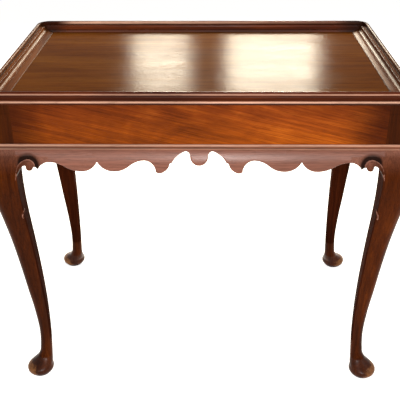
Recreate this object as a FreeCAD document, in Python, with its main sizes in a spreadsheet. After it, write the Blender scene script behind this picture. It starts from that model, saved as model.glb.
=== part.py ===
"""Tray-top tea table: a coved and mitred tray on a plain frieze, with a scalloped apron and
cabriole legs.

Millimetres. The origin is on the floor under the middle of the table, +X runs along its length,
+Y towards its back and +Z up. A piece that lies along a side of the frame is drawn as for the
front: its own x runs along the side, y = 0 is the outer face of the frieze and +y points inwards.
A piece that belongs to a corner is drawn as for the front left leg, round that leg's own axis,
with the table's outside towards -x and -y.
"""
import FreeCAD, Part
import math
import os
import Sketcher

Vector = FreeCAD.Vector
Rotation = FreeCAD.Rotation
UP = Vector(0, 0, 1)

DIMENSIONS = [
    ("table_length", 776, "length over the nose of the tray moulding"),
    ("table_depth", 488, "depth over the nose of the tray moulding"),
    ("table_height", 660, "height of the tray's rim above the floor"),
    ("tray_depth", 17.2, "from the rim's top down to the field of the tray"),
    ("tray_overhang", 12, "how far the nose stands out from the frieze"),
    ("rim_rise", 19.6, "from the rim's top down to the underside of the nose"),
    ("rim_skirt", 2.4, "height of the moulding's flush part under the nose"),
    ("rim_width", 49, "width of the tray moulding, from nose to foot"),
    ("rim_corner_radius", 38, "radius of the tray's outer corners"),
    ("nose_height", 7, "height of the nose under the rim"),
    ("nose_splay", 2, "width taken off the nose's edges"),
    ("lip_inset", 10.5, "how far the rim's raised lip lies inside the nose"),
    ("lip_width", 7.2, "width of that lip"),
    ("lip_splay", 2.3, "width taken off the lip's edges"),
    ("lip_rise", 3.2, "height taken off there"),
    ("lip_outer_drop", 5, "drop of the lip's outer foot"),
    ("lip_inner_drop", 7.2, "drop of the lip's inner foot"),
    ("cove_top_inset", 23.5, "inset of the upper edge of the cove"),
    ("cove_bottom_inset", 36.3, "inset of the lower edge of the cove"),
    ("cove_bottom_drop", 16, "drop of the lower edge of the cove"),
    ("cove_radius", 14, "radius of the cove"),
    ("board_thickness", 14, "thickness of the top board"),
    ("board_gap", 0.5, "room for the board to move in its rebate"),
    ("frieze_height", 86, "height of the frieze rails"),
    ("rail_thickness", 20, "thickness of the frieze rails"),
    ("rebate_width", 6, "width of the rail's wall outside the board"),
    ("tenon_thickness", 9, "thickness of the rails' tenons"),
    ("tenon_setback", 6, "from the frieze face to the tenon"),
    ("tenon_length", 22, "length of the rails' tenons"),
    ("tenon_shoulder", 8, "shoulder of the tenon at its lower edge"),
    ("mortise_gap", 0.2, "clearance of a tenon in its mortise"),
    ("bead_height", 10, "height of the bead strip round the frieze"),
    ("bead_projection", 6, "how far the bead stands out from the frieze"),
    ("bead_nose_height", 7, "height of the bead's nose"),
    ("bead_splay", 2, "width taken off the nose's edges"),
    ("bead_fillet_projection", 2.5, "how far the flat under the nose stands out"),
    ("apron_thickness", 20, "thickness of the apron inside the frieze's face"),
    ("apron_height", 42, "height of the apron at its pendants"),
    ("apron_reveal", 1, "how far the apron's top stands out from the frieze"),
    ("apron_swell", 15, "how far the apron's foot stands out from the frieze"),
    ("swell_height", 44, "height over which the apron and knees swell out"),
    ("bracket_length", 60, "length of a knee bracket along the apron"),
    ("bracket_seat", 12, "height of the apron's end over a bracket"),
    ("bracket_toe", 48, "height of a bracket where it meets the leg"),
    ("drop_radius", 16.4, "radius of the drop in the middle of the apron"),
    ("arch_radius", 8, "radius of the arches beside that drop"),
    ("arch_head", 3, "wood left over the top of those arches"),
    ("pendant_inner", 51, "place of the pendant's inner edge"),
    ("pendant_middle", 71.5, "place of the pendant's tip"),
    ("pendant_width", 14, "width of the pendant's rounded tip"),
    ("pendant_round", 2.5, "height of that rounded tip"),
    ("pendant_step", 4, "drop from the crest to the step in the pendant's inner edge"),
    ("step_width", 4, "width of that step"),
    ("step_fall", 1.5, "how far the step falls"),
    ("crest_place", 98.4, "place of the crest outside the pendant"),
    ("crest_height", 18.4, "wood left over that crest"),
    ("lobe_drop", 38.5, "height of the apron at its lobes"),
    ("cusp_height", 20.7, "wood left over the cusp between two lobes"),
    ("peak_height", 21.5, "wood left where the apron meets the bracket"),
    ("tip_place", 40, "from the leg's face to the bracket's pointed tip"),
    ("tip_height", 35, "height of the bracket at its tip"),
    ("scroll_place", 24.7, "from the leg's face to the middle of the scroll"),
    ("scroll_drop", 31.2, "from the apron's top to the middle of the scroll"),
    ("scroll_radius", 6.3, "radius of the scroll's eye"),
    ("post_width", 44, "width of the leg's square post"),
    ("knee_top", 1, "how far the knee's top stands out from the post"),
    ("knee_drop", 62, "from the frieze's foot down to the fullest place of the knee"),
    ("knee_swell", 17, "how far the knee stands out from the post there"),
    ("shin_drop", 112, "from the frieze's foot down to the end of the knee's curve"),
    ("shin_swell", 13, "how far the leg stands out from the post there"),
    ("calf_height", 188, "height of the lower end of the leg's long line"),
    ("calf_inset", 21.5, "how far the outer edge lies inside the post's face there"),
    ("ankle_height", 95, "height of the ankle"),
    ("ankle_inset", 26.4, "how far the outer edge lies inside the post's face there"),
    ("instep_height", 50, "height at which the outer edge sweeps out to the foot"),
    ("instep_inset", 22, "how far the outer edge lies inside the post's face there"),
    ("inner_height", 160, "height at which the leg stands furthest in"),
    ("inner_swell", 8, "how far its inner edge lies past the post's face there"),
    ("inner_top_drop", 122, "from the frieze's foot down to the straight part of the inner edge"),
    ("outer_arris", 8, "width taken off the leg's outer arris"),
    ("inner_arris", 14, "width taken off the leg's inner arris"),
    ("side_arris", 4, "width taken off the leg's side arrises"),
    ("shoe_radius", 21, "radius of the disc under the foot"),
    ("shoe_height", 3, "height of that disc"),
    ("pad_radius", 28.4, "radius of the pad foot"),
    ("pad_middle", 12.5, "height of the pad's widest place"),
    ("pad_height", 20, "height of the pad"),
    ("pad_top_radius", 27, "radius of the pad's upper edge"),
    ("heel_height", 64, "height up to which the leg's corners are rounded into the foot"),
    ("heel_radius", 38, "radius to which they are rounded there"),
    ("brace_thickness", 18, "thickness of the corner braces"),
    ("brace_height", 40, "height of the corner braces"),
    ("brace_seat", 8, "chamfer on the post that seats a brace"),
    ("glue_block_length", 50, "length of a glue block"),
    ("glue_block_thickness", 15, "thickness of a glue block"),
    ("glue_block_height", 30, "height of a glue block"),
]

SIDES = ["front", "right", "back", "left"]
CORNERS = ["front_left", "front_right", "back_right", "back_left"]
QUARTER_TURN = 90
HALF_CORNER = 45
OUTER_MARGIN = 10      # how far a cutting outline reaches past the wood
GLUE_BLOCKS = {"front": 4, "back": 4, "left": 2, "right": 2}

# ---------------------------------------------------------------- sizes and the sheet

class Size:
    """A length with its number and the expression that gives it from the sheet."""

    def __init__(self, value, text):
        self.value = float(value)
        self.text = text

    def __add__(self, other):
        other = size(other)
        return Size(self.value + other.value, f"({self.text} + {other.text})")

    def __sub__(self, other):
        other = size(other)
        return Size(self.value - other.value, f"({self.text} - {other.text})")

    def __mul__(self, other):
        other = size(other)
        return Size(self.value * other.value, f"({self.text} * {other.text})")

    def __truediv__(self, other):
        other = size(other)
        return Size(self.value / other.value, f"({self.text} / {other.text})")

    def __neg__(self):
        return Size(-self.value, f"(0 - {self.text})")

    def __radd__(self, other):
        return size(other) + self

    def __rsub__(self, other):
        return size(other) - self

    def __rmul__(self, other):
        return size(other) * self


def size(number):
    return number if isinstance(number, Size) else Size(number, str(number))


class Sizes:
    """The driving dimensions, each one a cell of the sheet under its own name."""

    def __init__(self, doc):
        sheet = doc.addObject("Spreadsheet::Sheet", "Sizes")
        for row, (name, value, note) in enumerate(DIMENSIONS, start=1):
            sheet.set(f"A{row}", note)
            sheet.set(f"B{row}", str(value))
            sheet.setAlias(f"B{row}", name)
        doc.recompute()
        for name, value, note in DIMENSIONS:
            setattr(self, name, Size(sheet.getPropertyByName(name), f"Sizes.{name}"))


doc = FreeCAD.newDocument("tea_table")
dim = Sizes(doc)

# What follows from the driving dimensions.
frieze_length = dim.table_length - 2 * dim.tray_overhang
frieze_depth = dim.table_depth - 2 * dim.tray_overhang
frieze_top = dim.table_height - dim.rim_rise - dim.rim_skirt
frieze_foot = frieze_top - dim.frieze_height
field_height = dim.table_height - dim.tray_depth
board_seat = field_height - dim.board_thickness
field_rise = field_height - frieze_top                    # the field stands inside the moulding
rebate_inset = dim.tray_overhang + dim.rebate_width
post_half = dim.post_width / 2
leg_x = frieze_length / 2 - post_half
leg_y = frieze_depth / 2 - post_half
tenon_foot = frieze_foot + dim.tenon_shoulder
tenon_top = board_seat - dim.tenon_shoulder / 2
brace_foot = board_seat - dim.brace_height
brace_face = dim.post_width - dim.brace_seat              # x + y on the brace's outer face
brace_back = brace_face + dim.brace_thickness * math.sqrt(2)
rail_back = dim.rail_thickness - post_half                # the rails' inner faces, from a leg
apron_foot = frieze_foot - dim.apron_height
scroll_height = frieze_foot - dim.scroll_drop
sides_length = {"front": frieze_length, "back": frieze_length,
                "left": frieze_depth, "right": frieze_depth}


# ---------------------------------------------------------------- drawing and features

def number(value):
    return size(value).value


def bind(item, prop, value):
    """Set one property from the sheet."""
    item.setExpression(prop, size(value).text)


def new_body(label):
    body = doc.addObject("PartDesign::Body", label)
    body.Label = label
    body.AllowCompound = True
    return body


def arc_between(start, end, radius):
    """The arc under half a turn from start to end, turning left if the radius is positive."""
    chord = end - start
    rise = math.sqrt(radius * radius - chord.Length ** 2 / 4)
    left = UP.cross(chord).normalize()
    turn = 1 if radius > 0 else -1
    centre = (start + end) * 0.5 + left * (rise * turn)
    circle = Part.Circle(centre, UP, abs(radius))
    ends = [start, end] if radius > 0 else [end, start]
    angles = [math.atan2((p - centre).y, (p - centre).x) for p in ends]
    return Part.ArcOfCircle(circle, angles[0], angles[1])


def sketch_on(body, name, role, offset=0, along=0, turned=0):
    """An empty sketch on one of the body's own planes, moved along its normal by offset."""
    sketch = body.newObject("Sketcher::SketchObject", name)
    plane = [item for item in body.Origin.OriginFeatures if item.Role == role][0]
    sketch.AttachmentSupport = [(plane, "")]
    sketch.MapMode = "FlatFace"
    base = Vector(number(along), 0, number(offset))
    sketch.AttachmentOffset = FreeCAD.Placement(base, Rotation(Vector(0, 1, 0), turned))
    bind(sketch, "AttachmentOffset.Base.x", along)
    bind(sketch, "AttachmentOffset.Base.z", offset)
    return sketch


def fix_point(sketch, geometry, end, axis, value):
    """Hold one coordinate of a point at a value from the sheet."""
    if number(value) == 0:
        other_axis = -2 if axis == "DistanceX" else -1
        sketch.addConstraint(Sketcher.Constraint("PointOnObject", geometry, end, other_axis))
        return
    rule = Sketcher.Constraint(axis, -1, 1, geometry, end, number(value))
    index = sketch.addConstraint(rule)
    bind(sketch, f"Constraints[{index}]", value)


def draw(sketch, points):
    """Draw a closed outline. A point is (x, y) at the end of a line, or (x, y, radius) at the
    end of an arc, which turns left if the radius is positive."""
    places = [Vector(number(point[0]), number(point[1]), 0) for point in points]
    first = sketch.GeometryCount
    ends = []
    for index, point in enumerate(points):
        start = places[index - 1]
        radius = point[2] if len(point) > 2 else None
        if radius is None:
            sketch.addGeometry(Part.LineSegment(start, places[index]), False)
            ends.append((1, 2))
            continue
        sketch.addGeometry(arc_between(start, places[index], number(radius)), False)
        ends.append((1, 2) if number(radius) > 0 else (2, 1))
    count = len(points)
    for index in range(count):
        following = (index + 1) % count
        rule = Sketcher.Constraint("Coincident", first + index, ends[index][1],
                                   first + following, ends[following][0])
        sketch.addConstraint(rule)
    for index, point in enumerate(points):
        fix_point(sketch, first + index, ends[index][1], "DistanceX", point[0])
        fix_point(sketch, first + index, ends[index][1], "DistanceY", point[1])
        if len(point) > 2:
            radius = point[2] if number(point[2]) > 0 else -point[2]
            rule = Sketcher.Constraint("Radius", first + index, number(radius))
            bind(sketch, f"Constraints[{sketch.addConstraint(rule)}]", radius)
    return sketch


def box_points(x_low, x_high, y_low, y_high):
    return [(x_high, y_low), (x_high, y_high), (x_low, y_high), (x_low, y_low)]


def pad(body, name, sketch, length, reverse=False, symmetric=False):
    feature = body.newObject("PartDesign::Pad", name)
    feature.Profile = sketch
    feature.Reversed = reverse
    feature.SideType = "Symmetric" if symmetric else "One side"
    bind(feature, "Length", length)
    return feature


def pocket(body, name, sketch, depth=None, reverse=False):
    """Cut a sketch's outline to a depth, or with no depth right through on both sides, and make
    sure that it took wood away."""
    doc.recompute()
    before = body.Shape.Volume
    feature = body.newObject("PartDesign::Pocket", name)
    feature.Profile = sketch
    feature.Reversed = reverse
    if depth is None:
        feature.SideType = "Symmetric"
        feature.Type = "ThroughAll"
    else:
        bind(feature, "Length", depth)
    doc.recompute()
    if not body.Shape.Volume < before:
        raise ValueError(f"{body.Label}: {name} cuts nothing")
    return feature


def revolve(body, name, sketch, angle=360, reverse=False):
    """Turn a sketch round its own upright axis."""
    feature = body.newObject("PartDesign::Revolution", name)
    feature.Profile = sketch
    feature.ReferenceAxis = (sketch, ["V_Axis"])
    feature.Angle = angle
    feature.Reversed = reverse
    return feature


def groove(body, name, sketch):
    """Turn wood away round a sketch's own upright axis, and make sure that some went."""
    doc.recompute()
    before = body.Shape.Volume
    feature = body.newObject("PartDesign::Groove", name)
    feature.Profile = sketch
    feature.ReferenceAxis = (sketch, ["V_Axis"])
    doc.recompute()
    if not body.Shape.Volume < before:
        raise ValueError(f"{body.Label}: {name} cuts nothing")


def mirror(body, name, feature):
    """Repeat a feature on the other side of the body's middle plane."""
    copy = body.newObject("PartDesign::Mirrored", name)
    copy.Originals = [feature]
    plane = [item for item in body.Origin.OriginFeatures if item.Role == "YZ_Plane"][0]
    copy.MirrorPlane = (plane, [""])
    body.Tip = copy
    return copy


def place(body, x, y, turn):
    body.Placement = FreeCAD.Placement(Vector(number(x), number(y), 0), Rotation(UP, turn))
    bind(body, "Placement.Base.x", x)
    bind(body, "Placement.Base.y", y)


def place_on_side(body, side):
    """Move a piece that is drawn as for the front to its own side of the frieze."""
    x, y = {"front": (0, -frieze_depth / 2), "right": (frieze_length / 2, 0),
            "back": (0, frieze_depth / 2), "left": (-frieze_length / 2, 0)}[side]
    place(body, x, y, SIDES.index(side) * QUARTER_TURN)


def place_at_corner(body, corner):
    """Move a piece that is drawn as for the front left leg to its own corner."""
    x = leg_x if corner.endswith("right") else -leg_x
    y = leg_y if corner.startswith("back") else -leg_y
    place(body, x, y, CORNERS.index(corner) * QUARTER_TURN)


# ---------------------------------------------------------------- the top

def top_board():
    """The field of the tray, let into a rebate all round the frame. It has a rebate of its own,
    which houses the moulding."""
    body = new_body("top_board")
    inset = rebate_inset + dim.board_gap
    plan = sketch_on(body, "board_plan", "XY_Plane", offset=board_seat)
    draw(plan, inset_box(inset))
    pad(body, "board", plan, dim.board_thickness - field_rise)
    field = sketch_on(body, "field_plan", "XY_Plane", offset=frieze_top)
    draw(field, inset_box(dim.rim_width))
    pad(body, "field", field, field_rise)


def inset_box(inset):
    """The tray's plan, that far inside its nose."""
    half_length = dim.table_length / 2 - inset
    half_depth = dim.table_depth / 2 - inset
    return box_points(-half_length, half_length, -half_depth, half_depth)


def rim_height(drop):
    return dim.table_height - drop


def rim_moulding(side):
    """One length of the tray moulding: a nose, a splay, a raised lip, a cove and a flat that runs
    to the field. Outside the corner's axis the section is turned round the corner. Inside it the
    ends are mitred."""
    body = new_body(f"rim_moulding_{side}")
    half = sides_length[side] / 2 + dim.tray_overhang
    corner_x = half - dim.rim_corner_radius
    corner_y = dim.rim_corner_radius - dim.tray_overhang
    nose_top = rim_height(dim.rim_rise - dim.nose_height)
    lip_inner = dim.lip_inset + dim.lip_width
    flat_height = rim_height(dim.cove_bottom_drop)

    def inset(distance):
        return distance - dim.rim_corner_radius

    outer = sketch_on(body, "outer_section", "YZ_Plane", offset=corner_x, along=corner_y)
    draw(outer, [
        (0, frieze_top),
        (0, flat_height),
        (inset(dim.cove_bottom_inset), flat_height),
        (inset(dim.cove_top_inset), rim_height(dim.lip_inner_drop), -dim.cove_radius),
        (inset(lip_inner), rim_height(dim.lip_inner_drop)),
        (inset(lip_inner), rim_height(dim.lip_rise)),
        (inset(lip_inner - dim.lip_splay), dim.table_height),
        (inset(dim.lip_inset + dim.lip_splay), dim.table_height),
        (inset(dim.lip_inset), rim_height(dim.lip_rise)),
        (inset(dim.lip_inset), rim_height(dim.lip_outer_drop)),
        (inset(dim.nose_splay), nose_top),
        (inset(0), nose_top - dim.nose_splay),
        (inset(0), rim_height(dim.rim_rise - dim.nose_splay)),
        (inset(dim.nose_splay), rim_height(dim.rim_rise)),
        (inset(dim.tray_overhang), rim_height(dim.rim_rise)),
        (inset(dim.tray_overhang), frieze_top),
    ])
    pad(body, "outer_run", outer, 2 * corner_x, reverse=True)
    turn = revolve(body, "corner", outer, angle=HALF_CORNER)
    mirror(body, "other_corner", turn)

    inner = sketch_on(body, "inner_section", "YZ_Plane", along=corner_y)
    foot = inset(dim.rim_width)
    foot_round = dim.tray_depth - dim.cove_bottom_drop
    draw(inner, [
        (foot, frieze_top),
        (foot, field_height),
        (foot - foot_round, flat_height, foot_round),
        (0, flat_height),
        (0, frieze_top),
    ])
    pad(body, "inner_run", inner, 2 * half, symmetric=True)

    mitres = sketch_on(body, "mitre_plan", "XY_Plane")
    nose = -dim.tray_overhang
    reach = dim.rim_width + OUTER_MARGIN
    for sign in (-1, 1):
        draw(mitres, [
            (sign * half, nose),
            (sign * (half - reach), nose + reach),
            (sign * half, nose + reach),
        ])
    pocket(body, "mitres", mitres)
    place_on_side(body, side)


# ---------------------------------------------------------------- the frame

def frieze_rail(side):
    """A rail with a tenon at each end and a rebate that holds the top board."""
    body = new_body(f"frieze_rail_{side}")
    between = sides_length[side] / 2 - dim.post_width
    section = sketch_on(body, "rail_section", "YZ_Plane")
    draw(section, [
        (dim.rail_thickness, frieze_foot),
        (dim.rail_thickness, board_seat),
        (dim.rebate_width, board_seat),
        (dim.rebate_width, frieze_top),
        (0, frieze_top),
        (0, frieze_foot),
    ])
    pad(body, "rail", section, 2 * between, symmetric=True)
    tenon = sketch_on(body, "tenon_section", "YZ_Plane")
    tenon_back = dim.tenon_setback + dim.tenon_thickness
    draw(tenon, box_points(dim.tenon_setback, tenon_back, tenon_foot, tenon_top))
    pad(body, "tenons", tenon, 2 * (between + dim.tenon_length), symmetric=True)
    place_on_side(body, side)


def bead_strip(side):
    """The bead planted round the foot of the frieze, mitred at the corners."""
    body = new_body(f"bead_{side}")
    half = sides_length[side] / 2
    bead_top = frieze_foot + dim.bead_height
    nose_foot = bead_top - dim.bead_nose_height
    flat = dim.bead_splay - dim.bead_projection
    section = sketch_on(body, "bead_section", "YZ_Plane")
    draw(section, [
        (0, frieze_foot),
        (0, bead_top),
        (flat, bead_top),
        (-dim.bead_projection, bead_top - dim.bead_splay),
        (-dim.bead_projection, nose_foot + dim.bead_splay),
        (flat, nose_foot),
        (-dim.bead_fillet_projection, nose_foot),
        (-dim.bead_fillet_projection, frieze_foot),
    ])
    pad(body, "strip", section, 2 * (half + dim.bead_projection), symmetric=True)
    mitres = sketch_on(body, "mitre_plan", "XY_Plane")
    reach = dim.bead_projection + OUTER_MARGIN
    for sign in (-1, 1):
        draw(mitres, [(sign * half, 0), (sign * (half + reach), -reach), (sign * (half + reach), 0)])
    pocket(body, "mitres", mitres)
    place_on_side(body, side)


# ---------------------------------------------------------------- the scalloped apron

def level_to_level(start, end):
    """Radius of each of the two equal arcs of an S that is level at both ends."""
    across = end[0] - start[0]
    down = end[1] - start[1]
    return (across * across + down * down) / (4 * down)


def level_at_one_end(start, end):
    """Radius of an arc that is level at one end."""
    across = end[0] - start[0]
    down = end[1] - start[1]
    return (across * across + down * down) / (2 * down)


def leaving_upright(start, end):
    """Radius of an arc that is upright at its start. It is positive if the arc turns left."""
    across, up = end[0] - start[0], end[1] - start[1]
    heading = 1 if number(up) > 0 else -1
    return (across * across + up * up) / (-2 * heading * across)


def arriving_upright(start, end):
    """Radius of an arc that is upright at its end."""
    return -leaving_upright(end, start)


def carrying_on(before, start, end):
    """Radius of an arc that leaves start in the direction in which another arc, upright at
    before, arrives there. It is positive if the arc turns left."""
    came_x, came_y = start[0] - before[0], start[1] - before[1]
    goes_x, goes_y = end[0] - start[0], end[1] - start[1]
    heading = 1 if number(came_y) > 0 else -1
    heading_x = 2 * heading * came_x * came_y
    heading_y = heading * (came_y * came_y - came_x * came_x)
    came_length = came_x * came_x + came_y * came_y
    goes_length = goes_x * goes_x + goes_y * goes_y
    return came_length * goes_length / (2 * (heading_x * goes_y - heading_y * goes_x))


def wave(start, end, side):
    """An S from one level place of the edge to another, as two arcs."""
    radius = level_to_level(start, end)
    middle = ((start[0] + end[0]) / 2, (start[1] + end[1]) / 2)
    return [(middle[0], middle[1], side * radius), (end[0], end[1], -side * radius)]


def scallops(half, pendants):
    """Half of the apron's lower edge, from its middle to the joint with the bracket. A point is
    (place, drop below the frieze), and an arc that turns to the right there has a negative
    radius."""
    drop_side = (dim.drop_radius, dim.arch_head + dim.arch_radius)
    arch_top = (dim.drop_radius + dim.arch_radius, dim.arch_head)
    edge = [
        (drop_side[0], drop_side[1], dim.drop_radius),
        (arch_top[0], arch_top[1], -dim.arch_radius),
    ]
    start = arch_top
    if pendants:
        step_drop = dim.crest_height + dim.pendant_step
        step_half = dim.step_width / 2
        tip_half = dim.pendant_width / 2
        flank_drop = dim.apron_height - dim.pendant_round
        rise = flank_drop - dim.crest_height
        crest = (dim.crest_place, dim.crest_height)
        edge += [
            (dim.pendant_inner - step_half, step_drop, -5 * dim.arch_radius),
            (dim.pendant_inner + step_half, step_drop + dim.step_fall),
            (dim.pendant_middle - tip_half, flank_drop, 3 * tip_half),
            (dim.pendant_middle + tip_half, flank_drop, 1.6 * tip_half),
            (crest[0], crest[1], -rise),
        ]
        start = crest
    joint = half - dim.post_width - dim.bracket_length
    run = joint - start[0]
    lobe_low = (start[0] + 0.32 * run, dim.lobe_drop)
    cusp = (start[0] + 0.494 * run, dim.cusp_height)
    last_low = (start[0] + 0.656 * run, dim.lobe_drop)
    peak = (joint, dim.peak_height)
    edge += wave(start, lobe_low, -1)
    edge += [(cusp[0], cusp[1], -level_at_one_end(lobe_low, cusp))]
    edge += [(last_low[0], last_low[1], level_at_one_end(cusp, last_low))]
    edge += wave(last_low, peak, 1)
    return edge


def convex_face(body, half_reach):
    """Cut the swelling front of an apron or bracket: an arc that ends upright."""
    face = sketch_on(body, "swell_section", "YZ_Plane")
    swell_foot = frieze_foot - dim.swell_height
    outside = -dim.apron_swell - OUTER_MARGIN
    top = (-dim.apron_reveal, frieze_foot)
    foot = (-dim.apron_swell, swell_foot)
    across = dim.apron_swell - dim.apron_reveal
    radius = (across * across + dim.swell_height * dim.swell_height) / (2 * across)
    draw(face, [
        foot + (radius,),
        (outside, swell_foot),
        (outside, frieze_foot + OUTER_MARGIN),
        (-dim.apron_reveal, frieze_foot + OUTER_MARGIN),
        top,
    ])
    pocket(body, "swell", face)


def apron(side):
    """The shaped board under a rail, cut away over the brackets at both ends."""
    body = new_body(f"apron_{side}")
    half = sides_length[side] / 2
    pendants = side in ("front", "back")
    edge = scallops(half, pendants)
    end = half - dim.post_width
    joint = end - dim.bracket_length
    middle_drop = dim.arch_head + dim.arch_radius + dim.drop_radius
    seat = frieze_foot - dim.bracket_seat

    outline = [(point[0], frieze_foot - point[1]) + tuple(point[2:]) for point in edge]
    left = mirrored(outline, (0, frieze_foot - middle_drop))
    outline += [(joint, seat), (end, seat), (end, frieze_foot), (-end, frieze_foot), (-end, seat),
                (-joint, seat)]
    outline += left
    sketch = sketch_on(body, "apron_front", "XZ_Plane", offset=dim.apron_swell)
    draw(sketch, outline)
    pad(body, "board", sketch, dim.apron_swell + dim.apron_thickness, reverse=True)
    convex_face(body, end)
    place_on_side(body, side)


def mirrored(outline, middle):
    """The other half of an outline, followed from its far end back to the middle."""
    ends = [middle] + [point[:2] for point in outline]
    points = [(-ends[-1][0], ends[-1][1])]
    for index in range(len(outline) - 1, -1, -1):
        radius = outline[index][2:]
        points.append((-ends[index][0], ends[index][1]) + tuple(radius))
    return points


def knee_bracket(side, end_name, sign):
    """The block beside a knee, with a pointed tip and the eye of the carved scroll."""
    body = new_body(f"knee_bracket_{side}_{end_name}")
    end = sides_length[side] / 2 - dim.post_width
    joint = end - dim.bracket_length
    scroll_x = end - dim.scroll_place
    seat = frieze_foot - dim.bracket_seat
    radius = dim.scroll_radius
    peak = (joint, frieze_foot - dim.peak_height)
    tip = (end - dim.tip_place, frieze_foot - dim.tip_height)
    tip_radius = level_at_one_end(tip, peak)
    points = [
        tip + (-tip_radius,),
        (scroll_x - radius, scroll_height),
        (scroll_x, scroll_height - radius, radius),
        (scroll_x + radius, scroll_height, radius),
        (end, frieze_foot - dim.bracket_toe, -(dim.scroll_place - radius)),
        (end, seat),
        (joint, seat),
        peak,
    ]
    if sign < 0:
        points = turned_over(points)
    sketch = sketch_on(body, "bracket_front", "XZ_Plane", offset=dim.apron_swell)
    draw(sketch, points)
    pad(body, "block", sketch, dim.apron_swell + dim.apron_thickness, reverse=True)
    convex_face(body, end)
    place_on_side(body, side)


def turned_back(edge):
    """An open edge mirrored left to right and followed from its last point back to its first."""
    points = [(-edge[-1][0], edge[-1][1])]
    for index in range(len(edge) - 1, 0, -1):
        points.append((-edge[index - 1][0], edge[index - 1][1]) + tuple(edge[index][2:]))
    return points


def turned_over(points):
    """A closed outline mirrored left to right. Its direction turns round, so each arc goes to
    the point where it began, and keeps turning the same way."""
    flipped = []
    for index in range(len(points) - 1, -1, -1):
        before = points[index - 1]
        flipped.append((-before[0], before[1]) + tuple(points[index][2:]))
    return flipped


# ---------------------------------------------------------------- the legs

def outer_edge(place):
    """The leg's outer edge, from the knee's top down to the pad. place turns how far the wood
    stands outside the post there, on its outer and its inner side, into a place in the sketch."""
    pad_swell = dim.pad_top_radius - post_half
    top = (place(dim.knee_top, 0), frieze_foot)
    knee = (place(dim.knee_swell, 0), frieze_foot - dim.knee_drop)
    shin = (place(dim.shin_swell, 0), frieze_foot - dim.shin_drop)
    calf = (place(-dim.calf_inset, dim.inner_swell), dim.calf_height)
    ankle = (place(-dim.ankle_inset, dim.inner_swell), dim.ankle_height)
    instep = (place(-dim.instep_inset, dim.inner_swell), dim.instep_height)
    toe = (place(pad_swell, pad_swell), dim.pad_height)
    return [
        top,
        knee + (arriving_upright(top, knee),),
        shin + (leaving_upright(knee, shin),),
        calf,
        ankle + (arriving_upright(calf, ankle),),
        instep + (leaving_upright(ankle, instep),),
        toe + (carrying_on(ankle, instep, toe),),
    ]


def inner_edge(place):
    """The leg's inner edge, from the pad up to the post."""
    heel = (place(dim.pad_top_radius - post_half), dim.pad_height)
    innermost = (place(dim.inner_swell), dim.inner_height)
    top = (place(0), frieze_foot - dim.inner_top_drop)
    middle = ((innermost[0] + top[0]) / 2, (innermost[1] + top[1]) / 2)
    return [
        heel,
        innermost + (arriving_upright(heel, innermost),),
        middle + (leaving_upright(innermost, middle),),
        top + (arriving_upright(middle, top),),
        (place(0), frieze_foot),
    ]


def saw_round(body, name, role, turned, outline):
    """Cut away everything outside an outline, all along the leg."""
    reach = 2 * dim.post_width
    sketch = sketch_on(body, name, role, turned=turned)
    draw(sketch, box_points(-reach, reach, 0, frieze_foot + OUTER_MARGIN))
    draw(sketch, outline)
    pocket(body, f"{name}_cut", sketch)


def leg(corner):
    """A cabriole leg with its post and pad foot, all one piece of wood. It is sawn to the same
    outline from two sides, and its arrises are then taken off across the corners."""
    body = new_body(f"leg_{corner}")
    square_outline = (outer_edge(lambda outer, inner: -(post_half + outer))
                      + inner_edge(lambda inner: post_half + inner))
    block = sketch_on(body, "first_sawing", "XZ_Plane")
    draw(block, square_outline)
    pad(body, "first_sawing_pad", block, 4 * dim.post_width, symmetric=True)
    saw_round(body, "second_sawing", "YZ_Plane", 0, square_outline)
    diagonal = math.sqrt(2)
    saw_round(body, "front_arrises", "XZ_Plane", HALF_CORNER,
              outer_edge(lambda outer, inner:
                         dim.outer_arris / diagonal - (post_half + outer) * diagonal)
              + inner_edge(lambda inner:
                           (post_half + inner) * diagonal - dim.inner_arris / diagonal))
    half_side = outer_edge(lambda outer, inner:
                           (dim.side_arris - dim.post_width - outer - inner) / diagonal)
    saw_round(body, "side_arrises", "XZ_Plane", -HALF_CORNER, half_side + turned_back(half_side))

    foot = sketch_on(body, "foot_section", "XZ_Plane")
    draw(foot, [
        (dim.shoe_radius, 0),
        (dim.shoe_radius, dim.shoe_height),
        (dim.pad_radius, dim.pad_middle),
        (dim.pad_top_radius, dim.pad_height),
        (0, dim.pad_height),
        (0, 0),
    ])
    revolve(body, "pad_foot", foot)
    heel = sketch_on(body, "heel_section", "XZ_Plane")
    reach = dim.heel_radius + OUTER_MARGIN
    draw(heel, [
        (reach, dim.pad_height),
        (reach, dim.heel_height),
        (dim.heel_radius, dim.heel_height),
        (dim.pad_top_radius, dim.pad_height),
    ])
    groove(body, "heel_rounding", heel)

    post = sketch_on(body, "post_section", "XY_Plane", offset=frieze_foot)
    draw(post, box_points(-post_half, post_half, -post_half, post_half))
    pad(body, "post", post, dim.frieze_height)

    notch = sketch_on(body, "board_notch", "XY_Plane", offset=frieze_top)
    lip = dim.rebate_width - post_half
    reach = post_half + OUTER_MARGIN
    draw(notch, box_points(lip, reach, lip, reach))
    pocket(body, "board_seat", notch, frieze_top - board_seat)

    mortise(body, "YZ_Plane", 1, False)
    mortise(body, "XZ_Plane", -1, True)

    seat = sketch_on(body, "brace_seat", "XY_Plane", offset=board_seat)
    draw(seat, [(post_half, post_half), (post_half - dim.brace_seat, post_half),
                (post_half, post_half - dim.brace_seat)])
    pocket(body, "brace_seat_cut", seat, dim.brace_height)
    place_at_corner(body, corner)


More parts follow.
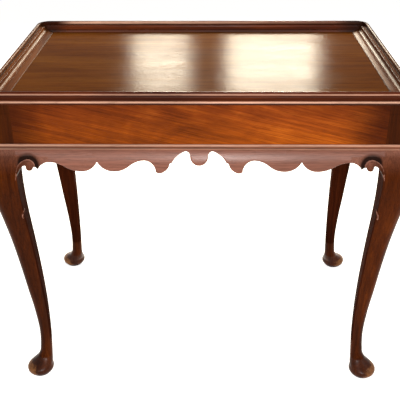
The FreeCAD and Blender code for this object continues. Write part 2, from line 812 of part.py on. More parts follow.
def mortise(body, role, side, reverse):
    """The hole for a rail's tenon in one inner face of the post."""
    sketch = sketch_on(body, f"mortise_{role[:2]}", role, offset=side * post_half)
    gap = dim.mortise_gap
    outer = dim.tenon_setback - post_half - gap
    inner = outer + dim.tenon_thickness + 2 * gap
    draw(sketch, box_points(outer, inner, tenon_foot - gap, tenon_top + gap))
    pocket(body, f"mortise_cut_{role[:2]}", sketch, dim.tenon_length + gap, reverse=reverse)


# ---------------------------------------------------------------- what holds it inside

def corner_brace(corner):
    """The diagonal block between two rails, seated on the chamfered corner of the post."""
    body = new_body(f"corner_brace_{corner}")
    plan = sketch_on(body, "brace_plan", "XY_Plane", offset=brace_foot)
    draw(plan, [
        (brace_face - rail_back, rail_back),
        (brace_back - rail_back, rail_back),
        (rail_back, brace_back - rail_back),
        (rail_back, brace_face - rail_back),
    ])
    pad(body, "block", plan, dim.brace_height)
    place_at_corner(body, corner)


def glue_blocks(side):
    """A row of rubbed blocks over the joint of rail and apron, inside the frame."""
    body = new_body(f"glue_blocks_{side}")
    reach = sides_length[side] / 2 - dim.post_width - dim.bracket_length
    section = sketch_on(body, "block_plan", "XY_Plane", offset=frieze_foot - dim.bracket_seat)
    y_low = dim.rail_thickness
    y_high = y_low + dim.glue_block_thickness
    draw(section, box_points(-reach, dim.glue_block_length - reach, y_low, y_high))
    first = pad(body, "block", section, dim.glue_block_height)
    row = body.newObject("PartDesign::LinearPattern", "row")
    row.Originals = [first]
    row.Direction = (section, ["H_Axis"])
    row.Occurrences = GLUE_BLOCKS[side]
    bind(row, "Length", 2 * reach - dim.glue_block_length)
    body.Tip = row
    place_on_side(body, side)


# ---------------------------------------------------------------- the table

top_board()
for side in SIDES:
    rim_moulding(side)
    frieze_rail(side)
    bead_strip(side)
    apron(side)
    glue_blocks(side)
for side, ends in {"front": ("left", "right"), "right": ("front", "back"),
                   "back": ("right", "left"), "left": ("back", "front")}.items():
    knee_bracket(side, ends[0], -1)
    knee_bracket(side, ends[1], 1)
for corner in CORNERS:
    leg(corner)
    corner_brace(corner)
doc.recompute()

for item in doc.Objects:
    if "Invalid" in item.State or "Error" in item.State:
        raise ValueError(f"{item.Label} failed: {item.State}")

os.makedirs("parts", exist_ok=True)
pieces = [item for item in doc.Objects
          if item.TypeId == "PartDesign::Body" or item.TypeId == "Part::Feature"]
for piece in pieces:
    shape = piece.Shape
    if shape.isNull() or not shape.isValid():
        raise ValueError(f"{piece.Label} is not a valid solid")
    shape.exportStep(f"parts/{piece.Label}.step")
print(f"{len(pieces)} pieces written")
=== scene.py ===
"""Looks of the tray-top tea table.

Millimetres until a mesh is made. The frame is the CAD model's: origin on the floor under the
middle, +X along the table, +Y to its back, +Z up.
"""

import math

import bpy
import numpy as np
from mathutils import Matrix, Vector
from mathutils.geometry import delaunay_2d_cdt


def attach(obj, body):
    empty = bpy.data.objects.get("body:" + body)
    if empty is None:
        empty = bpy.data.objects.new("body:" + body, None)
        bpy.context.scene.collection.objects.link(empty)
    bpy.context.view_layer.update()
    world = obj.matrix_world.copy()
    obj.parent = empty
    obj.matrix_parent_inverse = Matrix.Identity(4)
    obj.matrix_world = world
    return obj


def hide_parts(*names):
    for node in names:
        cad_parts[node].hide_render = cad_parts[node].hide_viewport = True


MM = 0.001

# Sizes that follow the CAD source, in millimetres.
TRAY_X, TRAY_Y = 388, 244          # half the tray over its nose
RIM_TOP = 660
FRAME_X, FRAME_Y = 376, 232        # half the frieze
FRIEZE_TOP = 638
FRIEZE_FOOT = 552
POST = 44
CORNER_RADIUS = 38
BOARD_THICK = 20
SWELL_TOP, SWELL_FOOT, SWELL_HEIGHT = 1, 15, 44
BRACKET_LENGTH = 60
SEAT_DROP = 12

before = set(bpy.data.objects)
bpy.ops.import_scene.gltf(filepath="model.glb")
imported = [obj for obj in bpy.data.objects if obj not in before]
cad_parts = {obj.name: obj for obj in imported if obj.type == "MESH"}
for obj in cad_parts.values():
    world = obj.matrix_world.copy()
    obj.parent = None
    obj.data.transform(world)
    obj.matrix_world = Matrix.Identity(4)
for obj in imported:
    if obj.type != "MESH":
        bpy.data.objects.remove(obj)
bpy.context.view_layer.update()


# ---------------------------------------------------------------- making meshes

def new_object(name, data):
    """A new object in the scene."""
    made = bpy.data.objects.new(name, data)
    bpy.context.scene.collection.objects.link(made)
    return made


def add_mesh(name, points, faces, replaced, material, attributes, smooth_angle,
             more=(), chosen=None):
    """A piece of the table, from points in millimetres. More materials may be given, with a list
    of which one each face has."""
    mesh = bpy.data.meshes.new(name)
    mesh.from_pydata([tuple(p) for p in np.asarray(points, float) * MM], [], faces)
    for each in (material, *more):
        mesh.materials.append(each)
    if chosen:
        mesh.polygons.foreach_set("material_index", chosen)
    mesh.validate()
    mesh.update()
    for key, values in attributes.items():
        layer = mesh.attributes.new(key, "FLOAT", "POINT")
        layer.data.foreach_set("value", np.asarray(values, np.float32))
    piece = new_object(name, mesh)
    mesh.polygons.foreach_set("use_smooth", [True] * len(mesh.polygons))
    mesh.set_sharp_from_angle(angle=math.radians(smooth_angle))
    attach(piece, "root")
    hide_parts(*replaced)


def tube_faces(rings, count):
    """The faces of a closed tube of rings that go against the clock, with count points each."""
    faces = []
    for r in range(rings - 1):
        for c in range(count):
            d = (c + 1) % count
            faces.append((r * count + c, r * count + d, (r + 1) * count + d, (r + 1) * count + c))
    last = (rings - 1) * count
    return faces + [tuple(reversed(range(count))), tuple(last + c for c in range(count))]


def shifted(faces, first):
    """Faces whose points are counted from first on."""
    return [tuple(first + i for i in face) for face in faces]


def arc(start, end, rise, steps=8):
    """Points after start along an arc to end. A positive rise bulges to the left of the way."""
    start, end = np.array(start, float), np.array(end, float)
    chord = end - start
    length = np.linalg.norm(chord)
    left = np.array([-chord[1], chord[0]]) / length
    radius = (length * length / 4 + rise * rise) / (2 * abs(rise))
    half = math.asin(min(1.0, length / 2 / radius))
    if abs(rise) > length / 2:
        half = math.pi - half
    sign = 1 if rise > 0 else -1
    centre = (start + end) / 2 + left * (rise - sign * radius)
    from_middle = np.linspace(-half, half, steps + 1)[1:]
    along = chord / length
    return [tuple(centre + along * radius * math.sin(a) + left * sign * radius * math.cos(a))
            for a in from_middle]


def smooth(value):
    """0 up to 0, 1 from 1 on, and an easy curve between."""
    value = np.clip(value, 0, 1)
    return value * value * (3 - 2 * value)


def side_place(side, across, inward, height):
    """A place on a side of the table, drawn as for the front, in the table's own frame."""
    across, inward = np.asarray(across, float), np.asarray(inward, float)
    height = np.broadcast_to(np.asarray(height, float), across.shape)
    x, y = {
        "front": (across, inward - FRAME_Y),
        "right": (FRAME_X - inward, across),
        "back": (-across, FRAME_Y - inward),
        "left": (inward - FRAME_X, -across),
    }[side]
    return np.stack([x, y, height], axis=-1)


SIDES = ("front", "right", "back", "left")
LONG_SIDES = ("front", "back")
HALF = dict(zip(SIDES, (FRAME_X, FRAME_Y) * 2))


def grain_of(side):
    """The axis that the grain of a side's pieces follows."""
    return "X" if side in LONG_SIDES else "Y"


# ---------------------------------------------------------------- materials

def emptied(owner, output):
    """The emptied node tree of a material or world, and the surface of its new output."""
    owner.use_nodes = True
    owner.node_tree.nodes.clear()
    return owner.node_tree, owner.node_tree.nodes.new(output).inputs["Surface"]


class Nodes:
    """Short ways to make and join shader nodes."""

    def __init__(self, name):
        self.material = bpy.data.materials.new(name)
        self.tree, surface = emptied(self.material, "ShaderNodeOutputMaterial")
        self.shader = self.tree.nodes.new("ShaderNodeBsdfPrincipled")
        self.join(self.shader.outputs[0], surface)

    def join(self, source, target):
        self.tree.links.new(source, target)

    def put(self, socket, value):
        if isinstance(value, bpy.types.NodeSocket):
            self.join(value, socket)
        else:
            socket.default_value = value

    def math(self, kind, a, b=0.0, c=0.0, clamp=False):
        node = self.tree.nodes.new("ShaderNodeMath")
        node.operation = kind
        node.use_clamp = clamp
        for socket, value in zip(node.inputs, (a, b, c)):
            self.put(socket, value)
        return node.outputs[0]

    def remap(self, value, low, high, to_low=0.0, to_high=1.0):
        node = self.tree.nodes.new("ShaderNodeMapRange")
        node.interpolation_type = "SMOOTHSTEP"
        for key, item in (("Value", value), ("From Min", low), ("From Max", high),
                          ("To Min", to_low), ("To Max", to_high)):
            self.put(node.inputs[key], item)
        return node.outputs["Result"]

    def place(self):
        return self.tree.nodes.new("ShaderNodeTexCoord").outputs["Object"]

    def scaled(self, vector, scale, shift=(0, 0, 0)):
        node = self.tree.nodes.new("ShaderNodeMapping")
        self.join(vector, node.inputs["Vector"])
        node.inputs["Scale"].default_value = scale
        node.inputs["Location"].default_value = shift
        return node.outputs[0]

    def turned(self, vector, angle, axis):
        node = self.tree.nodes.new("ShaderNodeMapping")
        self.join(vector, node.inputs["Vector"])
        node.inputs["Rotation"].default_value["XYZ".index(axis)] = angle
        return node.outputs[0]

    def part(self, vector, axis):
        node = self.tree.nodes.new("ShaderNodeSeparateXYZ")
        self.join(vector, node.inputs[0])
        return node.outputs[axis]

    def noise(self, vector, scale=1.0, detail=3.0, roughness=0.5, distortion=0.0):
        node = self.tree.nodes.new("ShaderNodeTexNoise")
        self.join(vector, node.inputs["Vector"])
        for key, value in (("Scale", scale), ("Detail", detail), ("Roughness", roughness),
                           ("Distortion", distortion)):
            node.inputs[key].default_value = value
        return node.outputs["Fac"]

    def ramp(self, value, stops):
        node = self.tree.nodes.new("ShaderNodeValToRGB")
        self.join(value, node.inputs["Fac"])
        elements = node.color_ramp.elements
        while len(elements) < len(stops):
            elements.new(0.5)
        for element, (position, colour) in zip(elements, stops):
            element.position = position
            element.color = (*colour, 1)
        return node.outputs["Color"]

    def mix(self, kind, factor, a, b):
        node = self.tree.nodes.new("ShaderNodeMix")
        node.data_type = "RGBA"
        node.blend_type = kind
        self.put(node.inputs["Factor"], factor)
        for socket, value in ((node.inputs[6], a), (node.inputs[7], b)):
            self.put(socket, value if isinstance(value, bpy.types.NodeSocket) else (*value, 1))
        return node.outputs[2]

    def attribute(self, name):
        node = self.tree.nodes.new("ShaderNodeAttribute")
        node.attribute_name = name
        return node.outputs["Fac"]

    def bump(self, height, strength, distance, normal=None):
        node = self.tree.nodes.new("ShaderNodeBump")
        node.inputs["Strength"].default_value = strength
        node.inputs["Distance"].default_value = distance
        self.join(height, node.inputs["Height"])
        if normal is not None:
            self.join(normal, node.inputs["Normal"])
        return node.outputs[0]


def srgb(r, g, b):
    """A linear colour from sRGB numbers out of 255."""
    def linear(v):
        v /= 255
        return v / 12.92 if v <= 0.04045 else ((v + 0.055) / 1.055) ** 2.4
    return linear(r), linear(g), linear(b)


# The colour of grime, and of painted shade in quirks, hollows and under overhangs.
GRIME_AND_SHADE_COLOUR = srgb(22, 10, 6)
END_TONE = (0.2, 0.16, 0.2)        # what is left of the colour where a rail's end is darkest


def wood(name, grain, dark, middle, light, roughness=(0.24, 0.36), ior=1.2, figure=1.0,
         shift=(0, 0, 0), wear=0.0, bared=(128, 92, 62), painted_sheen=None, tilt=0.0,
         mottle=(0.86, 1.12), blotch=(2.4, 13), painted_shadow=None, ends=None, relief=1.0):
    """Polished wood with its grain along an axis: broad figure, bands of growth, pores that show as
    fine dark streaks, a slightly uneven old polish, and grime with painted shade, wear, and a
    painted sheen as a paler tone, from the mesh. The grain may run at a tilt to the axis.
    painted_shadow (low, high, tone) paints a shadow by changing the tone upwards, and ends (half,
    soft, least) darkens both ends."""
    n = Nodes(name)
    bare_place = n.place()
    place = n.turned(bare_place, tilt, "YX"[grain == "Y"]) if tilt else bare_place
    axis = "XYZ".index(grain)

    def along(long, across):
        return tuple(long if i == axis else across for i in range(3))

    def noise(scale, **how):
        return n.noise(n.scaled(place, scale, shift), **how)

    warp = noise(along(1.6, 7), detail=2, distortion=0.6)
    broad = noise(along(*blotch), detail=4, roughness=0.55, distortion=0.9)
    bands = noise(along(1.3, 74), detail=3, roughness=0.62, distortion=1.1)
    streaks = noise(along(9, 420), detail=2, roughness=0.7)
    pores = noise(along(42, 1500), detail=1, roughness=0.6)
    figured = n.math("ADD", n.math("MULTIPLY", broad, 0.62), n.math("MULTIPLY", bands, 0.38))
    colour = n.ramp(n.remap(figured, 0.5 - 0.19 / figure, 0.5 + 0.19 / figure),
                    [(0.0, dark), (0.5, middle), (1.0, light)])
    streak_tone = n.remap(streaks, 0.34, 0.66, 0.82, 1.12)
    pore_tone = n.remap(pores, 0.30, 0.46, 0.62, 1.0)
    patch_tone = n.remap(warp, 0.3, 0.7, *mottle)
    tone = n.math("MULTIPLY", n.math("MULTIPLY", streak_tone, pore_tone), patch_tone)
    # A painted sheen: the colour goes paler where the mesh asks for it.
    if painted_sheen:
        colour = n.mix("MIX", n.attribute("painted_sheen"), colour, srgb(*painted_sheen))
    toned = n.mix("MULTIPLY", 1.0, colour, n.ramp(n.math("MULTIPLY", tone, 0.5),
                                                  [(0, (0, 0, 0)), (1, (2, 2, 2))]))
    # Grime and painted shade from the mesh darken the colour.
    grime_and_shade = n.attribute("grime_and_shade")
    toned = n.mix("MIX", n.math("MULTIPLY", grime_and_shade, 0.8, clamp=True), toned, GRIME_AND_SHADE_COLOUR)
    if wear:
        scuffs = noise((170, 170, 170), detail=5, roughness=0.72)
        bare = n.remap(n.math("ADD", n.attribute("wear"), n.math("MULTIPLY", scuffs, 0.9)),
                       1.0, 1.35)
        toned = n.mix("MIX", n.math("MULTIPLY", bare, wear), toned, srgb(*bared))
    # A painted shadow: the tone changes upwards, darker under the tray's rim.
    if painted_shadow:
        low, high, tone = painted_shadow
        height = n.math("ADD", n.part(bare_place, 2), n.math("MULTIPLY", broad, 0.03))
        toned = n.mix("MIX", n.remap(height, low, high), toned,
                      n.mix("MULTIPLY", 1.0, toned, tone))
    if ends:
        half, soft, least = ends
        from_middle = n.math("ABSOLUTE", n.part(bare_place, axis))
        uneven = n.math("MULTIPLY", n.math("SUBTRACT", warp, 0.5), 0.05)
        shade = n.remap(n.math("ADD", from_middle, uneven), half - soft, half, 1.0, least)
        toned = n.mix("MIX", shade, n.mix("MULTIPLY", 1.0, toned, END_TONE), toned)
    n.join(toned, n.shader.inputs["Base Color"])
    smears = noise(along(6, 22), detail=4, roughness=0.65)
    rough = n.remap(smears, 0.3, 0.7, *roughness)
    n.join(n.math("ADD", rough, n.math("MULTIPLY", grime_and_shade, 0.18)), n.shader.inputs["Roughness"])
    n.shader.inputs["IOR"].default_value = ior
    grain_bump = n.bump(pores, 0.16 * relief, 0.0004)
    wavy = noise(along(9, 16), detail=2)
    n.join(n.bump(wavy, 0.10 * relief, 0.004, grain_bump), n.shader.inputs["Normal"])
    return n.material


RED = srgb(52, 17, 5), srgb(84, 33, 9), srgb(116, 51, 14)
LEG = srgb(44, 16, 3), srgb(68, 28, 5), srgb(92, 42, 8)
# The paler tone is a painted sheen on the aprons.
mahogany = {axis: wood(f"mahogany_{axis.lower()}", axis, *RED, shift=(0.37 * k, 0.21, 0.13 * k),
                       ior=1.27, painted_sheen=(126, 82, 67), roughness=(0.22, 0.3))
            for k, axis in enumerate("XY")}
# The paler tone is a painted sheen on the brackets and the knee's top.
KNEE = {"ior": 1.1, "figure": 0.85, "wear": 0.8, "bared": (172, 122, 104),
        "painted_sheen": (126, 84, 69)}
knee_wood, leg_wood = (wood(name, "Z", *LEG, **KNEE)
                       for name in ("knee_mahogany", "leg_mahogany"))
# The legs' inner sides: a darker copy of the leg's wood, as painted shade.
leg_inner_shaded = wood("leg_mahogany_inner_shaded", "Z", srgb(34, 12, 5), srgb(52, 20, 8), srgb(70, 30, 12),
                 wear=0.6, figure=0.9, ior=1.03, roughness=(0.45, 0.6))
foot_wood = wood("foot_mahogany", "Z", *LEG, wear=0.8, bared=(134, 90, 54), ior=1.2,
                 figure=0.85, roughness=(0.2, 0.3))
RIM_WOODS = (("X", RED, 1.15, (0.2, 0.3), 1.0),
             ("Y", (srgb(56, 26, 10), srgb(88, 46, 18), srgb(116, 66, 28)), 1.06, (0.3, 0.36),
              0.1))
# The paler tone is a painted highlight on the nose, the lip's arris and the bead, and a painted
# sheen on the back lip.
rim_wood = {axis: wood(f"rim_mahogany_{axis.lower()}", axis, *tones, painted_sheen=(236, 188, 160),
                       shift=(0.37 * k, 0.61, 0.13), roughness=rough, ior=ior, relief=relief)
            for k, (axis, tones, ior, rough, relief) in enumerate(RIM_WOODS)}
# The frieze's top is toned darker towards the rim: a painted shadow of the tray over it.
frieze_wood = {axis: wood(f"frieze_mahogany_{axis.lower()}", axis, srgb(100, 44, 11),
                          srgb(148, 70, 14), srgb(192, 102, 24), figure=0.76, ior=1.12,
                          shift=(0.11, 0.43 + 0.2 * k, 0.77), tilt=-0.24, mottle=(0.78, 1.2),
                          blotch=(6, 13), painted_shadow=(0.575, 0.655, (0.72, 0.66, 1.2)),
                          ends=(half * MM, 0.09, 0.05))
               for k, (axis, half) in enumerate((("X", FRAME_X - 50), ("Y", FRAME_Y - 50)))}
tray_wood = wood("tray_mahogany", "X", srgb(86, 44, 10), srgb(100, 55, 13), srgb(114, 67, 18),
                 roughness=(0.14, 0.2), ior=1.032, figure=0.9, shift=(0.9, 0.3, 0.2),
                 mottle=(0.93, 1.06))
secondary = wood("secondary_softwood", "X", srgb(120, 84, 50), srgb(150, 112, 70),
                 srgb(176, 138, 92), roughness=(0.6, 0.75))


# ---------------------------------------------------------------- mouldings round the frame

def swept_sides(prefix, node, section, half_x, half_y, corner, materials, grime_and_shade_of, painted_sheen_of):
    """Four mitred lengths of one closed section, given as (inset, height). Insets smaller than the
    corner's radius go round the corner, and larger ones meet in a square mitre.
    grime_and_shade_of, for grime and painted shade, and painted_sheen_of, for a painted sheen, are
    asked with (side, across, half, inset, height) for each point."""
    section = np.array(section, float)
    inset, height = section[:, 0], section[:, 1]
    turns = 12 if corner else 0
    lead = 15                      # an inset past the corner's radius is straight again after this
    for side in SIDES:
        half = half_x if side in LONG_SIDES else half_y
        square = half - corner
        rows = []
        for k in range(turns + 1):
            share = k / max(turns, 1)
            angle = math.radians(45 * (1 + share))
            radius = corner - inset
            round_x = -square - radius * math.cos(angle)
            round_in = corner - radius * math.sin(angle)
            straight_x = (inset - half) * (1 - share) + (-square + lead) * share
            bent = inset < corner - 0.01
            rows.append((np.where(bent, round_x, straight_x), np.where(bent, round_in, inset)))
        middle = np.linspace(-square + lead, square - lead, 21)
        rows += [(np.full_like(inset, x), inset) for x in middle]
        rows += [(-x, y) for x, y in reversed(rows[:turns + 1])]
        if not corner:
            rows = [(inset - half, inset)] + rows[1:-1] + [(half - inset, inset)]
        offset = (TRAY_X - FRAME_X) if corner else 0
        points = np.concatenate([side_place(side, x, y - offset, height) for x, y in rows])
        count = len(section)
        faces = []
        for r in range(len(rows) - 1):
            for c in range(count):
                d = (c + 1) % count
                faces.append((r * count + c, (r + 1) * count + c, (r + 1) * count + d,
                              r * count + d))
        last = (len(rows) - 1) * count
        faces.append(tuple(range(count)))
        faces.append(tuple(last + c for c in reversed(range(count))))
        tones = {key: [tone_of(side, x[0], half, i, h) for x, _ in rows for i, h in section]
                 for key, tone_of in (("grime_and_shade", grime_and_shade_of), ("painted_sheen", painted_sheen_of))}
        add_mesh(f"{prefix}_{side}", points, faces, [f"{node}_{side}"], materials[grain_of(side)],
                 attributes=tones, smooth_angle=28)


def rim_section():
    """The tray moulding: skirt, half-round nose, cavetto, rounded lip, fillet, cove and flat."""
    def at(inset, drop):
        return (inset, RIM_TOP - drop)
    section = [at(12, 22), at(12, 20.2), at(11.6, 19.7), at(7, 19.6), at(1.4, 19.6)]
    section += arc(at(1.4, 19.6), at(0.3, 18.5), 0.4, 4)
    section += arc(at(0.3, 18.5), at(2.9, 13.0), 0.5, 8)
    section += [at(3.5, 12.6), at(4.3, 12.3)]
    section += arc(at(4.3, 12.1), at(10.0, 5.8), -1.7, 8)
    section += [at(10.4, 5.4), at(10.5, 4.6)]
    section += arc(at(10.5, 4.6), at(14.0, 0.1), 1.3, 6)
    section += arc(at(14.0, 0.1), at(17.9, 4.4), 1.5, 7)
    section += [at(17.8, 6.2), at(17.5, 7.0), at(17.9, 7.3), at(20, 7.2), at(25.7, 7.3)]
    section += arc(at(25.7, 7.3), at(26.7, 8.2), 0.3, 4)
    section += arc(at(26.7, 8.2), at(36.8, 14.5), -2.9, 12)
    section += [at(40, 14.9), at(44, 15.5), at(48.2, 16.3), at(49.0, 17.2), at(49.0, 22),
                at(30, 22)]
    return section


BACK_PATCH, SIDE_PATCH, PATCH_EDGE = 80, 54, 34    # the dark back corners on the rim


def rim_grime_and_shade(side, across, half, inset, height):
    """Painted shade in the long sides' cavetto, under the nose, on the short sides' nose, in the
    quirks and at the field's edge, and dirt as an old dark patch in each of the back corners."""
    drop = RIM_TOP - height
    # Dirt: an old dark patch in each of the back corners.
    reach, corner = {"back": (BACK_PATCH, half - abs(across)), "left": (SIDE_PATCH, half + across),
                     "right": (SIDE_PATCH, half - across), "front": (0, half)}[side]
    patch = float(smooth((reach - corner) / PATCH_EDGE))
    if inset < 11 or (drop > 21 and inset > 15):
        patch = 0.0
    # Painted shade below: the long sides' cavetto, under the nose, the short sides' nose, the
    # quirks, the field's edge.
    if side in LONG_SIDES and inset < 10.3 and 5.6 < drop < 12.7:
        return 0.55
    if inset < 3 and drop > 16.6:
        return 0.8
    if side not in LONG_SIDES and inset < 3:
        return 0.4
    if 16.9 < inset < 18.4 and drop > 5:
        return 0.9
    if inset > 48.3 and drop < 18:
        return 0.7
    if 11.9 < drop < 12.7 and 2.5 < inset < 5:
        return 0.8
    if 19.5 < drop < 21:
        return 0.5
    return patch


def rim_painted_sheen(side, across, half, inset, height):
    """The painted sheen: a painted highlight on the nose and the lip's arris on the long sides, and
    a painted reflection of a long sheen on the inner side of the back lip, strongest towards the
    left."""
    drop = RIM_TOP - height
    amount = 1.0 if side in LONG_SIDES else 0.0
    # A painted highlight along the nose of the long sides.
    if inset < 3.2 and 12.9 < drop < 18:
        return 0.8 * amount * math.exp(-((drop - 14.9) / 1.4) ** 2)
    # A painted reflection of a long sheen on the back lip's inner side.
    if side == "back" and 14.5 < inset < 18 and 0.5 < drop < 6.5:
        return float(np.interp(across, [-360, -150, 0, 150, 295, 330], [0.1, 0.3, 0.6, 0.9, 1, 0]))
    # A painted highlight on the lip's arris of the long sides.
    if 10.2 < inset < 10.6 and drop < 6:
        return 0.4 * amount
    return 0.0


def bead_painted_shade(side, across, half, inset, height):
    """Painted shade in the bead's quirk."""
    return 0.9 if FRIEZE_FOOT + 3.1 < height < FRIEZE_FOOT + 4.0 else 0.0


def bead_painted_sheen(side, across, half, inset, height):
    """A painted highlight on the bead: the square, and the upper part of the half round."""
    above = height - FRIEZE_FOOT
    return 0.3 if above < 3.3 else 0.06 + 0.5 * math.exp(-((above - 8.6) / 1.6) ** 2)


def bead_section():
    """The bead round the foot of the frieze: a half round, a quirk and a small square."""
    def at(inset, above):
        return (inset, FRIEZE_FOOT + above)
    section = [at(0, 0), at(0, 10), at(-1.0, 10)]
    section += arc(at(-1.0, 10), at(-2.0, 9.2), -0.4, 4)
    section += arc(at(-2.0, 9.2), at(-4.4, 4.8), -0.6, 8)
    section += arc(at(-4.4, 4.8), at(-3.2, 3.9), -0.4, 4)
    section += [at(-2.5, 3.6), at(-2.6, 3.2), at(-3.6, 1.0), at(-3.6, 0.4), at(-3.2, 0)]
    return section[::-1]


swept_sides("tray_rim", "rim_moulding", rim_section(), TRAY_X, TRAY_Y, CORNER_RADIUS,
            rim_wood, rim_grime_and_shade, rim_painted_sheen)
swept_sides("frieze_bead", "bead", bead_section(), FRAME_X, FRAME_Y, 0,
            rim_wood, bead_painted_shade, bead_painted_sheen)


# ---------------------------------------------------------------- the carved face of the apron

EYE = (24.7, 31.2)                 # middle of the scroll: from the leg's face, drop
EYE_RADIUS = 6.2
KNEE_OUT, KNEE_DROP, KNEE_FALL = 16.9, 62, 3.8


def swell(drop):
    """How far the convex face stands out from the frieze at a drop below it."""
    rise = SWELL_FOOT - SWELL_TOP
    radius = (rise * rise + SWELL_HEIGHT ** 2) / (2 * rise)
    below = np.clip(SWELL_HEIGHT - drop, 0, None)
    return SWELL_FOOT - radius + np.sqrt(radius * radius - below * below)


def knee_face(drop):
    """How far the knee stands out from the post at a drop: an arc, then an easy curve back in."""
    rise = KNEE_OUT - SWELL_TOP
    radius = (rise * rise + KNEE_DROP ** 2) / (2 * rise)
    below = np.clip(KNEE_DROP - drop, 0, None)
    bulge = KNEE_OUT - radius + np.sqrt(radius * radius - below * below)
    return bulge - KNEE_FALL * np.clip((drop - KNEE_DROP) / 35, 0, None) ** 2


def curve_through(points, per_span=10):
    """A smooth line through points."""
    points = np.array(points, float)
    padded = np.vstack([2 * points[0] - points[1], points, 2 * points[-1] - points[-2]])
    made = []
    for i in range(1, len(padded) - 2):
        p0, p1, p2, p3 = padded[i - 1:i + 3]
        for t in np.linspace(0, 1, per_span, endpoint=False):
            made.append(0.5 * (2 * p1 + (p2 - p0) * t + (2 * p0 - 5 * p1 + 4 * p2 - p3) * t * t
                               + (3 * p1 - p0 - 3 * p2 + p3) * t ** 3))
    made.append(points[-1])
    return np.array(made)


def distance_to(line, x, y):
    """Distance from each place to a line of points, and how far along the line it is."""
    nearest = np.full(x.shape, 1e9)
    share = np.zeros(x.shape)
    for i in range(len(line) - 1):
        a, b = line[i], line[i + 1]
        d = b - a
        t = np.clip(((x - a[0]) * d[0] + (y - a[1]) * d[1]) / (d @ d), 0, 1)
        gap = np.hypot(x - a[0] - t * d[0], y - a[1] - t * d[1])
        closer = gap < nearest
        nearest = np.where(closer, gap, nearest)
        share = np.where(closer, (i + t) / (len(line) - 1), share)
    return nearest, share


# The two raised lines of the scroll, through points (from the leg's face, drop).
OUTER_RIDGE = curve_through([
    (32.6, 31.8), (34.3, 28.5), (33.6, 24.3), (31.0, 20.6), (27.0, 18.2), (22.4, 17.4),
    (17.4, 18.2), (12.4, 20.6), (7.6, 24.4), (4.0, 29.2), (1.6, 35.0), (0.2, 42.0)])
INNER_RIDGE = curve_through([
    (24.0, 27.2), (27.6, 27.6), (29.4, 30.6), (28.9, 34.4), (25.4, 36.6), (21.2, 35.6),
    (19.2, 32.0), (19.9, 27.4), (23.0, 24.0), (21.8, 22.6), (17.4, 24.0), (12.4, 27.6),
    (8.0, 32.0), (4.6, 37.0), (2.0, 43.0)])
UNDER_RIDGE = np.vstack([OUTER_RIDGE, [(0.0, 70.0), (33.0, 70.0)]])
CARVED_REACH = 62                  # nothing is carved further from the leg, or lower
HOLLOW_WIDTH, HOLLOW_DEPTH = 15, 3.4
OUTER_HEIGHT, INNER_HEIGHT, BUTTON_HEIGHT = 2.4, 1.8, 1.6
OUTER_WIDTH, INNER_WIDTH, BUTTON_RADIUS = 1.1, 1.0, 4.2
BODY_SINK = 1.2                    # how far the scroll's body lies below the plain face


def carved(away, drop):
    """How far the carving raises the face (or sinks it), how much painted shade lies there and how
    worn it is. away is measured from the leg's face along the apron."""
    away, drop = np.asarray(away, float), np.asarray(drop, float)
    raised, grime_and_shade, worn = np.zeros((3, *away.shape))
    near = (away < CARVED_REACH) & (drop < CARVED_REACH)
    if not near.any():
        return raised, grime_and_shade, worn
    x, y = away[near], drop[near]
    outer, outer_share = distance_to(OUTER_RIDGE, x, y)
    inner, inner_share = distance_to(INNER_RIDGE, x, y)
    from_eye = np.hypot(x - EYE[0], y - EYE[1])
    outside = ~inside(UNDER_RIDGE, np.stack([x, y], axis=1))
    hollow = smooth(1 - outer / HOLLOW_WIDTH) * outside * smooth(x / 9)
    between = smooth(1 - (outer + inner) / 9) * ~outside
    body = -BODY_SINK * ~outside * smooth(x / 4)
    strength = np.interp(outer_share, [0, 0.06, 0.8, 1], [0.5, 1, 0.9, 0.6])
    ridge = strength * np.exp(-(outer / OUTER_WIDTH) ** 2)
    strength_in = np.interp(inner_share, [0, 0.1, 0.8, 1], [0.7, 1, 0.8, 0.0])
    ridge_in = strength_in * np.exp(-(inner / INNER_WIDTH) ** 2)
    button = smooth(1 - from_eye / BUTTON_RADIUS)
    highest = np.maximum(np.maximum(OUTER_HEIGHT * ridge, INNER_HEIGHT * ridge_in),
                         BUTTON_HEIGHT * button)
    raised[near] = -HOLLOW_DEPTH * hollow + body + highest
    # Painted shade in the hollow round the scroll and in the groove between its ridges, none on the
    # ridges.
    grime_and_shade[near] = np.clip(2.0 * hollow + 0.8 * between - ridge - ridge_in, 0, 1.2)
    worn[near] = np.maximum(ridge, 0.6 * ridge_in)
    return raised, grime_and_shade, worn


def painted_sheen_amount(away, drop):
    """How much painted sheen there is: all along the apron and on the top of the knee's brackets,
    less towards the leg and down it."""
    along = 0.25 + 0.75 * smooth((away + 10) / 60)
    along = along * (1 - smooth((drop - 10) / 40) * (1 - smooth((away - 20) / 30)))
    return np.maximum(along, 0.75 * smooth((20 - drop) / 18))


def face_out(half, across, drop):
    """How far the apron's or bracket's face stands out from the frieze, its painted shade and its
    wear.
    """
    away = half - POST - np.abs(across)
    blend = smooth(1 - away / 16)
    plain = swell(drop) * (1 - blend) + knee_face(drop) * blend
    raised, grime_and_shade, worn = carved(away, drop)
    return plain + raised, grime_and_shade, worn


# ---------------------------------------------------------------- the scalloped apron

def scallop_arc(start, end, radius, steps=10):
    """Points after start to end along an arc. A positive radius turns left."""
    start, end = np.array(start, float), np.array(end, float)
    half_chord = np.linalg.norm(end - start) / 2
    rise = abs(radius) - math.sqrt(max(radius * radius - half_chord * half_chord, 0))
    return arc(start, end, -rise if radius > 0 else rise, steps)


